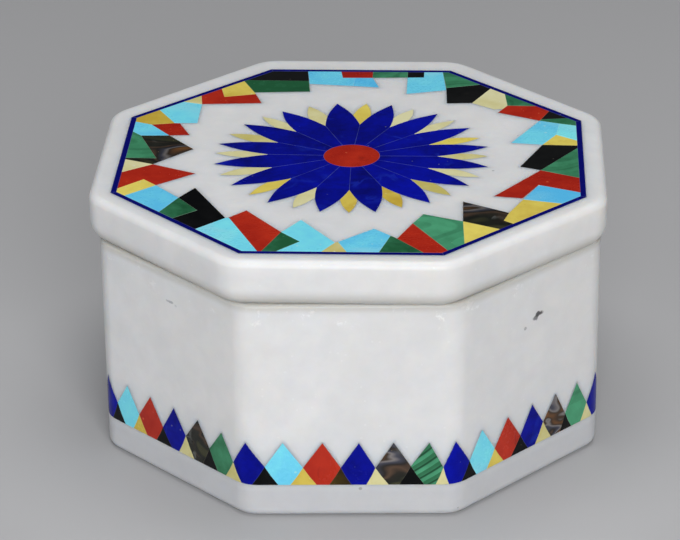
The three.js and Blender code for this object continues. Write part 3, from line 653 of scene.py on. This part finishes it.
# each stone's kind, tone and corner points on the lid's top in millimetres; the sides follow one another
# anticlockwise seen from above
reach = 57.15
mosaic = {
    "front": [
        ("coral", 0.1, [(-24.2, -34), (-28.2, -38.2), (-20, -reach), (-19, -reach), (-15, -46.3)]),
        ("malachite", -0.2, [(-15, -46.3), (-19, -reach), (-15.5, -reach), (-10.2, -51.6)]),
        ("turquoise", 0.5, [(-10.6, -39.2), (-14.4, -45.5), (-15, -46.3), (-10.2, -51.6), (-15.5, -reach),
                            (-4.8, -reach), (-1.8, -52)]),
        ("pale_yellow", -0.3, [(-1.8, -52), (-4.8, -reach), (1.2, -reach), (-1.1, -51.6)]),
        ("turquoise", 0.1, [(7.2, -43.9), (-1.1, -51.6), (1.2, -reach), (8.8, -reach), (11.3, -47.8)]),
        ("malachite", -0.2, [(11.3, -47.8), (8.8, -reach), (19.4, -reach), (12.9, -49.4)]),
        ("coral", 0.05, [(16.4, -40.6), (12.9, -49.4), (19.4, -reach), (23.67, -reach), (25.05, -55.77)]),
    ],
    "front_right": [
        ("malachite", 0.7, [(18.9, -35.2), (16.4, -40.6), (25.05, -55.77), (28.95, -51.87), (28.5, -39.2)]),
        ("ochre", 0.5, [(28.5, -39.2), (28.95, -51.87), (37.35, -43.47)]),
        ("abalone", -0.12, [(28.4, -27.6), (28.5, -39.2), (37.35, -43.47), (40.55, -40.27), (38.3, -38.5),
                          (39.6, -34)]),
        ("ochre", 0.2, [(43.1, -26), (39.6, -34), (38.3, -38.5), (40.55, -40.27), (52.55, -28.27)]),
    ],
    "right": [
        ("turquoise", -0.35, [(47, -17.2), (43.1, -26), (52.55, -28.27), (reach, -23.67), (reach, -21.5)]),
        ("coral", -0.1, [(47.6, -8.1), (35.9, -24.3), (42.9, -25.4), (47, -17.2), (reach, -21.5),
                         (reach, -12.6)]),
        ("malachite", 0.2, [(reach, 6.2), (47.6, -8.1), (reach, -12.6)]),
        ("onyx", 0.3, [(48.3, 8.1), (reach, 7.8), (reach, 6.2), (47.6, -8.1), (42.5, -6)]),
        ("ochre", 0.4, [(51.9, 14.7), (48.3, 8.1), (reach, 7.8), (reach, 11)]),
        ("turquoise", 0.1, [(47.8, 23.9), (40.3, 9.1), (48.3, 8.1), (51.9, 14.7), (52.9, 22.1)]),
        ("turquoise", 0.6, [(52.9, 22.1), (51.9, 14.7), (reach, 11), (reach, 20.8)]),
    ],
    "back_right": [
        ("malachite", -0.1, [(48.2, 24.9), (47.8, 23.9), (52.9, 22.1), (reach, 20.8), (reach, 23.67),
                             (55.05, 25.77)]),
        ("onyx", 0.5, [(50.35, 30.47), (48.2, 24.9), (55.05, 25.77)]),
        ("coral", 0.1, [(39.5, 34), (37, 29.2), (47.8, 23.9), (50.35, 30.47), (46.95, 33.87)]),
        ("malachite", 0.0, [(38.85, 41.97), (39.5, 34), (46.95, 33.87)]),
        ("pale_yellow", 0.5, [(35.05, 45.77), (30.2, 35.6), (36, 31.4), (38.3, 31.7), (39.5, 34),
                              (38.85, 41.97)]),
    ],
    "back": [
        ("onyx", 0.2, [(23.3, 46), (23.6, 35.2), (30.2, 35.6), (35.05, 45.77), (32.25, 48.57)]),
        ("malachite", 0.0, [(22.2, reach), (23.3, 46), (32.25, 48.57), (23.67, reach)]),
        ("turquoise", 0.1, [(17.2, reach), (17.2, 53.4), (12.8, 53.2), (12.8, 41.6), (23.3, 44.4),
                            (22.2, reach)]),
        ("onyx", 0.2, [(12.8, reach), (12.8, 53.2), (17.2, 53.4), (17.2, reach)]),
        ("malachite", 0.2, [(3.4, reach), (3.4, 52.8), (12.8, 53.2), (12.8, reach)]),
        ("coral", -0.3, [(-5.2, reach), (-4.6, 52.7), (3.4, 52.8), (3.4, reach)]),
        ("turquoise", -0.2, [(-1.2, 52.75), (-1.6, 46.9), (5.4, 46), (3.4, 52.8)]),
        ("turquoise", 0.0, [(-14.2, reach), (-13.3, 48.2), (-1.6, 46.9), (-1.2, 52.75), (-4.6, 52.7),
                            (-5.2, reach)]),
    ],
    "back_left": [
        ("onyx", 0.3, [(-23.67, reach), (-30.25, 50.57), (-13.6, 50.3), (-14.2, reach)]),
        ("malachite", -0.35, [(-30.25, 50.57), (-30.95, 49.87), (-27.6, 41.8), (-12.9, 42.7), (-13.6, 50.3)]),
        ("ochre", 0.2, [(-36.55, 44.27), (-35.4, 38.6), (-27.2, 40.7), (-27.6, 41.8), (-30.95, 49.87)]),
        ("coral", 0.1, [(-41.55, 39.27), (-40.9, 33.4), (-25.2, 34.4), (-27.2, 40.7), (-35.4, 38.6),
                        (-36.55, 44.27)]),
        ("pale_yellow", 0.1, [(-45.85, 34.97), (-40.9, 33.4), (-41.55, 39.27)]),
    ],
    "left": [
        ("turquoise", 0.3, [(-51.65, 29.17), (-46.9, 20.4), (-41, 20.5), (-40.9, 33.4), (-45.85, 34.97)]),
        ("ochre", -0.2, [(-reach, 23.67), (-reach, 21.2), (-52.8, 19.3), (-46.9, 20.4), (-51.65, 29.17)]),
        ("coral", -0.1, [(-52.8, 19.3), (-47.5, 12.2), (-42.3, 12.5), (-45.6, 20.4), (-46.9, 20.4)]),
        ("turquoise", 0.1, [(-reach, 21.2), (-reach, 14.6), (-54.8, 12), (-47.5, 12.2), (-52.8, 19.3)]),
        ("malachite", 0.4, [(-reach, 14.6), (-reach, -2.5), (-49.4, -2.6), (-54.8, 12)]),
        ("abalone", -0.1, [(-54.8, 12), (-49.4, -2.6), (-reach, -2.5), (-reach, -3.4), (-49.9, -6.4),
                           (-40.5, 3.4), (-47.5, 12.2)]),
        ("pale_yellow", 0.5, [(-reach, -3.4), (-reach, -11.5), (-49.9, -6.4)]),
    ],
    "front_left": [
        ("coral", 0.1, [(-49.9, -6.4), (-reach, -11.5), (-reach, -21.6), (-51.2, -15.8), (-47.8, -19.4),
                        (-38.6, -12)]),
        ("ochre", 0.6, [(-51.2, -15.8), (-reach, -21.6), (-reach, -23.67), (-54.95, -25.87), (-47.8, -19.4)]),
        ("turquoise", -0.3, [(-47.8, -19.4), (-54.95, -25.87), (-45.45, -35.37), (-41.5, -26.8)]),
        ("malachite", -0.2, [(-41.5, -26.8), (-45.45, -35.37), (-41.85, -38.97), (-36.2, -34.2)]),
        ("onyx", -0.3, [(-37.9, -20.8), (-41.5, -26.8), (-36.2, -34.2), (-41.85, -38.97), (-35.75, -45.07),
                        (-29, -38.5)]),
        ("turquoise", 0.3, [(-29, -38.5), (-35.75, -45.07), (-23.67, -reach), (-20, -reach), (-28.2, -38.2)]),
    ],
}

for sideName, stones in mosaic.items():
    for number, (kind, tone, outline) in enumerate(stones, 1):
        layFlat("mosaic_%s_%d_%s" % (sideName, number, kind), outline, kind, tone, "mosaic_" + sideName)
print("mosaic laid:", sum(len(stones) for stones in mosaic.values()), "stones")


lidShape = {
    "apothem": 64.0, "stepApothem": bodyApothem - 10, "stepHeight": rimZ - lidLow.z / mm,
    "seat": rimZ + 0.1, "seatApothem": 61.9,
    "cornerRadius": 10.0, "topRound": (2.1, 1.8), "underRound": (3.1, 4.6), "underStart": 62,
    "backDepth": 1.03, "stepRows": 4, "perCorner": 15,
}


def makeLid(shape):
    # profile rows: step, seat, part of an ellipse up to the side, quarter ellipse over the top edge
    apothem = shape["apothem"]
    seat = shape["seat"]
    under = shape["underRound"]
    top = shape["topRound"]
    lower = arcSteps((apothem - under[0], seat + under[1]), under, -shape["underStart"], 0, 12)
    upper = arcSteps((apothem - top[0], topZ - top[1]), top, 0, 90, 10)
    stepLow = seat - shape["stepHeight"] - 0.1
    rows = [(shape["stepApothem"] - 0.8, stepLow), (shape["stepApothem"] - 0.25, stepLow + 0.2),
            (shape["stepApothem"], stepLow + 0.8), (shape["stepApothem"], seat),
            (shape["seatApothem"], seat), *lower, *upper]
    rows = np.array(rows)
    radius = np.maximum(shape["cornerRadius"] - (apothem - rows[:, 0]) * 0.8, 0.8)
    profile = np.column_stack([rows, radius])
    rings = octagonRings(profile, shape["perCorner"])
    # every slab point behind the centre moves back by a fixed share of its distance; the step keeps its place
    slab = rings[shape["stepRows"]:]
    slab[:, :, 1] *= np.where(slab[:, :, 1] > 0, shape["backDepth"], 1.0)
    lid = stripSolid("lidMarble", turnedOnto(lidCentre, rings))
    points, faces = [], []
    for rings in lidCutters:
        start = sum(len(p) for p in points)
        count = rings.shape[1]
        points.append(rings.reshape(-1, 3))
        faces += (np.array(ringFaces(2, count)) + start).tolist()
        faces.append([start + i for i in range(count)][::-1])
        faces.append([start + count + i for i in range(count)])
    carve(lid, newObject("lidCutter", np.concatenate(points), faces))
    polished(lid, 32)
    return finished(lid, marble, "lid", "marble", "lid")


makeLid(lidShape)
print("lid carved")


boxShape = {
    "wall": 8.0, "floor": 8.0, "cornerRadius": 8.0, "lowerRound": 2.2, "rimRound": 0.8,
    "innerRound": 3.0, "innerCorner": 2.0, "perCorner": 13,
}
frieze = {
    "base": kiteLow.z / mm, "top": kiteHigh.z / mm, "waist": 5.0, "foot": 1.45, "bow": 0.13, "perFace": 6,
    "kinds": ["lapis", "turquoise", "coral", "lapis", "abalone", "malachite"],
    "gaps": ["onyx", "ochre", "onyx", "pale_yellow", "onyx", "pale_yellow"],
    # how far the whole kites stand from even spacing, left to right seen from outside
    "shifts": {
        "front": [0.7, 1.8, 2.1, 2.0, 2.1], "front_right": [0.3, 1.0, 1.3, 1.4, 0.8],
        "right": [0.5, 0.9, 0.4, -0.2, 0.3], "back_right": [-0.4, -0.8, -0.3, 0.2, 0.1],
        "back": [0.3, 0.8, 1.1, 0.7, 0.2], "back_left": [-0.6, -0.2, 0.4, 0.6, 0.9],
        "left": [0.2, -0.4, -0.7, -0.3, 0.4], "front_left": [-0.3, -0.1, 0.2, 0.5, 0.6],
    },
    "tones": {"lapis": 0.1, "turquoise": 0.35, "coral": 0.15, "abalone": 0.2, "malachite": 0.3,
              "onyx": 0.0, "ochre": 0.2, "pale_yellow": 0.1},
}
straightRun = 2 * (bodyApothem - boxShape["cornerRadius"]) * math.tan(sideAngle / 2)
sideRun = straightRun + boxShape["cornerRadius"] * sideAngle


def wallPoints(along, height, depth):
    # along is the distance round the wall from the middle of the front; the wall is straight on its faces
    # and turns about the corner centres, and depth goes in along the wall's own normal
    along, height, depth = np.broadcast_arrays(along, height, depth)
    face = np.round(along / sideRun)
    local = along - face * sideRun
    straight = np.clip(local, -straightRun / 2, straightRun / 2)
    faceAngle = face * sideAngle - np.pi / 2
    radius = boxShape["cornerRadius"]
    normal = faceAngle + (local - straight) / radius
    core = bodyApothem - radius
    x = core * np.cos(faceAngle) - straight * np.sin(faceAngle) + (radius - depth) * np.cos(normal)
    y = core * np.sin(faceAngle) + straight * np.cos(faceAngle) + (radius - depth) * np.sin(normal)
    return np.stack([x, y, height], -1)


def chainGrid(left, right, perRun, columns):
    # rows climb both chains together, columns cross from the left chain to the right one
    runs = len(left) - 1
    steps = np.linspace(0, runs, runs * perRun + 1)
    knots = np.arange(runs + 1)
    leftPath = np.stack([np.interp(steps, knots, left[:, i]) for i in (0, 1)], -1)
    rightPath = np.stack([np.interp(steps, knots, right[:, i]) for i in (0, 1)], -1)
    share = np.linspace(0, 1, columns)[None, :, None]
    return leftPath[:, None] * (1 - share) + rightPath[:, None] * share


def gridBorder(rows, columns):
    # indices round the grid, anticlockwise seen from outside
    index = np.arange(rows * columns).reshape(rows, columns)
    return np.concatenate([index[0, :-1], index[:-1, -1], index[-1, :0:-1], index[:0:-1, 0]])


def layOnWall(name, left, right, kind, tone, node):
    # a stone that follows the wall: polished front, sunk edge of paste, sides and back
    left, right = np.asarray(left, float), np.asarray(right, float)
    inset = grownOutline(np.concatenate([right, left[-2::-1]]), -stoneEdge["paste"])
    insetRight = inset[:len(right)]
    insetLeft = np.concatenate([inset[len(right):][::-1], insetRight[-1:]])
    perRun, columns = 3, 7
    front = chainGrid(insetLeft, insetRight, perRun, columns)
    outer = chainGrid(left, right, perRun, columns)
    rows = front.shape[0]
    border = gridBorder(rows, columns)
    flatOuter = outer.reshape(-1, 2)[border]
    frontPoints = wallPoints(front[..., 0], front[..., 1], 0.0).reshape(-1, 3)
    edgePoints = wallPoints(flatOuter[:, 0], flatOuter[:, 1], stoneEdge["sunk"])
    backPoints = wallPoints(outer[..., 0], outer[..., 1], stoneDepth).reshape(-1, 3)
    grid = rows * columns
    count = len(border)
    quads = gridFaces(rows, columns)
    here = np.arange(count)
    ahead = (here + 1) % count
    backStart = grid + count
    rim = np.stack([border[here], grid + here, grid + ahead, border[ahead]], -1)
    wall = np.stack([grid + here, backStart + border[here], backStart + border[ahead], grid + ahead], -1)
    faces = np.concatenate([quads, rim, wall, (quads + backStart)[:, ::-1]]).tolist()
    points = np.concatenate([frontPoints, edgePoints, backPoints])
    joint = np.concatenate([np.zeros(grid), np.ones(count), np.ones(grid)])
    along = np.concatenate([front.reshape(-1, 2), flatOuter, outer.reshape(-1, 2)])
    slant = (along[:, 1] - 0.75 * along[:, 0]) * mm
    piece = newObject(name, points, faces, {"joint": joint, "tone": tone, "slant": slant})
    merge = piece.modifiers.new("merge", "WELD")
    merge.merge_threshold = 0.000002
    keepModified(piece)
    finished(piece, chosenStones.get(name, stoneMaterials[kind]), "box", kind, node)
    polished(piece, 25)
    return piece


def friezePoints(spec):
    # feet, touching points and tips of every diamond round the box, each a little off its place
    count = spec["perFace"] * sides
    pitch = sideRun / spec["perFace"]
    shifts = np.concatenate([[0.1, *spec["shifts"][faceName]] for faceName in faceNames])
    places = (np.arange(count) - spec["perFace"] / 2) * pitch + shifts
    lap = sideRun * sides
    between = (places + np.roll(places, 1) - np.where(np.arange(count) == 0, lap, 0)) / 2
    tips = np.stack([places, spec["top"] + chance.uniform(-0.3, 0.0, count)], -1)
    touch = np.stack([between + chance.uniform(-0.25, 0.25, count),
                      spec["base"] + spec["waist"] + chance.uniform(-0.45, 0.45, count)], -1)
    footMiddle = places + chance.uniform(-0.25, 0.25, count)
    footHalf = spec["foot"] + chance.uniform(-0.25, 0.4, count)
    feetLeft = np.stack([footMiddle - footHalf, np.full(count, spec["base"])], -1)
    feetRight = np.stack([footMiddle + footHalf, np.full(count, spec["base"])], -1)
    return tips, touch, feetLeft, feetRight


def makeFrieze(spec):
    # a diamond from each pair of feet through the touching points to the tip, and a triangle in each gap
    tips, touch, feetLeft, feetRight = friezePoints(spec)
    count = len(tips)
    lap = np.array([sideRun * sides, 0])
    for i in range(count):
        ahead = (i + 1) % count
        wrap = lap if ahead == 0 else np.zeros(2)
        kind = spec["kinds"][i % spec["perFace"]]
        face = i // spec["perFace"]
        faceName = faceNames[face]
        nextTouch = touch[ahead] + wrap
        nextFoot = feetLeft[ahead] + wrap
        node = "frieze_" + faceName
        if i % spec["perFace"] == 0:
            node = "corner_stone_%d" % ((face + 5) % sides + 1)
        bow = np.array([spec["bow"], 0])
        leftMiddle = (feetLeft[i] + touch[i]) / 2 - bow
        rightMiddle = (feetRight[i] + nextTouch) / 2 + bow
        nextMiddle = (nextFoot + nextTouch) / 2 - bow
        layOnWall("friezeKite_%02d_%s" % (i + 1, kind), [feetLeft[i], leftMiddle, touch[i], tips[i]],
                  [feetRight[i], rightMiddle, nextTouch, tips[i]], kind,
                  spec["tones"][kind] + chance.uniform(-0.15, 0.15), node)
        gapKind = spec["gaps"][i % spec["perFace"]]
        layOnWall("friezeGap_%02d_%s" % (i + 1, gapKind), [feetRight[i], rightMiddle, nextTouch],
                  [nextFoot, nextMiddle, nextTouch], gapKind,
                  spec["tones"][gapKind] + chance.uniform(-0.2, 0.2), "frieze_" + faceName)
    return tips, touch


def friezeCutter(spec, tips, touch):
    # a square section carried round the wall: flat base, upper edge along the diamonds' sides
    knots = np.concatenate([touch, tips])
    knots = knots[np.argsort(knots[:, 0])]
    lap = sideRun * sides
    start = knots[0, 0]
    bend = np.concatenate([(k + 0.5) * sideRun + np.linspace(-0.5, 0.5, 9) * (sideRun - straightRun)
                           for k in range(-1, sides + 1)])
    bend = bend[(bend > start) & (bend < start + lap)]
    along = np.unique(np.round(np.concatenate([knots[:, 0], bend]), 4))
    upper = np.interp(along, np.append(knots[:, 0], start + lap), np.append(knots[:, 1], knots[0, 1]))
    over = stoneEdge["overcut"]
    low = np.full(len(along), spec["base"] - over)
    inner = stoneDepth + stoneEdge["floor"]
    section = [(low, inner), (low, -1.5), (upper + over, -1.5), (upper + over, inner)]
    rings = np.stack([wallPoints(along, height, depth) for height, depth in section])
    count = len(along)
    quads = np.array(ringFaces(len(section), count))
    last = (len(section) - 1) * count
    here = np.arange(count)
    ahead = (here + 1) % count
    closing = np.stack([last + here, last + ahead, ahead, here], -1)
    return newObject("friezeCutter", rings.reshape(-1, 3), np.concatenate([quads, closing]).tolist())


def makeBox(shape, cutter):
    # profile rows: underside, rounded lower edge, wall, rim, cavity wall, rounded floor edge, floor
    apothem, wall = bodyApothem, bodyApothem - shape["wall"]
    low, rim, inner = shape["lowerRound"], shape["rimRound"], shape["innerRound"]
    lower = arcSteps((apothem - low, low), (low, low), -90, 0, 8)
    upper = arcSteps((apothem - rim, rimZ - rim), (rim, rim), 0, 90, 6)
    inside = arcSteps((wall + rim * 0.6, rimZ - rim * 0.6), (rim * 0.6, rim * 0.6), 90, 180, 5)
    fillet = arcSteps((wall - inner, shape["floor"] + inner), (inner, inner), 0, -90, 8)
    rows = np.concatenate([lower, upper, inside, fillet])
    outside = np.arange(len(rows)) < len(lower) + len(upper)
    outerRadius = np.maximum(shape["cornerRadius"] - (apothem - rows[:, 0]), 0.5)
    innerRadius = np.maximum(shape["innerCorner"] - (wall - rows[:, 0]), 0.4)
    profile = np.column_stack([rows, np.where(outside, outerRadius, innerRadius)])
    box = stripSolid("boxMarble", octagonRings(profile, shape["perCorner"]))
    carve(box, cutter)
    polished(box, 32)
    return finished(box, marble, "box", "marble", "box_body")


friezeTips, friezeTouch = makeFrieze(frieze)
print("frieze laid:", 2 * len(friezeTips), "stones")
makeBox(boxShape, friezeCutter(frieze, friezeTips, friezeTouch))
print("box carved")


floorLook = {"size": 3.0, "points": 9, "under": 0.05, "color": (0.50, 0.50, 0.51)}
lamps = [
    # name, place in metres, width, power in watts, colour
    ("keyPanel", (0.16, -1.15, 0.60), 0.7, 11.0, (1.0, 1.0, 1.0)),
    ("fillPanel", (-0.95, -0.55, 0.50), 0.9, 1.5, (0.94, 0.97, 1.0)),
    ("topPanel", (0.05, 0.05, 1.20), 1.0, 7.0, (1.0, 1.0, 1.0)),
]
cameraSet = {
    # angles in degrees, distance and target in metres, lens and sensor in millimetres
    "azimuth": 0.95, "elevation": 25.535, "roll": -0.666, "distance": 0.774,
    "target": (-0.0030, 0.0002, 0.0371), "lens": 159.0, "sensor": 36.0,
}


def makeFloor(look):
    # a flat grid just under the box
    across = look["points"]
    grid = np.linspace(-look["size"], look["size"], across) / mm
    x, y = np.meshgrid(grid, grid)
    points = np.stack([x, y, np.full(x.shape, -look["under"])], -1).reshape(-1, 3)
    floor = newObject("floor", points, gridFaces(across, across).tolist())
    material, tree, shader, where = newMaterial("floorPaint")
    cloud = placed(tree, clouds, {"Vector": where, "Scale": 3.0, "Warp": 0.2})
    color = mixed(tree, maths(tree, "MULTIPLY", cloud["Broad"], 0.08), look["color"], (0.5, 0.5, 0.5))
    tree.links.new(color, shader.inputs["Base Color"])
    shader.inputs["Roughness"].default_value = 0.6
    floor.data.materials.append(material)


def makeLamp(name, place, width, power, color):
    light = bpy.data.lights.new(name, "AREA")
    light.shape = "DISK"
    light.size = width
    light.energy = power
    light.color = color
    lamp = bpy.data.objects.new(name, light)
    bpy.context.scene.collection.objects.link(lamp)
    lamp.location = place
    lamp.rotation_euler = (Vector((0, 0, 0.04)) - Vector(place)).to_track_quat("-Z", "Y").to_euler()


def makeCamera(spec):
    azimuth, elevation, roll = (math.radians(spec[key]) for key in ("azimuth", "elevation", "roll"))
    back = Vector((math.sin(azimuth) * math.cos(elevation), -math.cos(azimuth) * math.cos(elevation),
                   math.sin(elevation)))
    right = Vector((math.cos(azimuth), math.sin(azimuth), 0))
    up = back.cross(right)
    turnedRight = right * math.cos(roll) + up * math.sin(roll)
    turnedUp = up * math.cos(roll) - right * math.sin(roll)
    place = Vector(spec["target"]) + back * spec["distance"]
    view = bpy.data.cameras.new("camera")
    view.lens = spec["lens"]
    view.sensor_width = spec["sensor"]
    view.clip_start = 0.02
    view.clip_end = 20
    camera = bpy.data.objects.new("camera", view)
    bpy.context.scene.collection.objects.link(camera)
    turned = Matrix((turnedRight, turnedUp, back)).transposed().to_4x4()
    camera.matrix_world = Matrix.Translation(place) @ turned
    bpy.context.scene.camera = camera


makeFloor(floorLook)
for lamp in lamps:
    makeLamp(*lamp)
world = bpy.data.worlds.new("studio")
world.use_nodes = True
world.node_tree.nodes["Background"].inputs[0].default_value = (0.90, 0.93, 1.0, 1)
world.node_tree.nodes["Background"].inputs[1].default_value = 0.05
bpy.context.scene.world = world
bpy.context.scene.view_settings.view_transform = "Standard"
makeCamera(cameraSet)
print("studio ready")
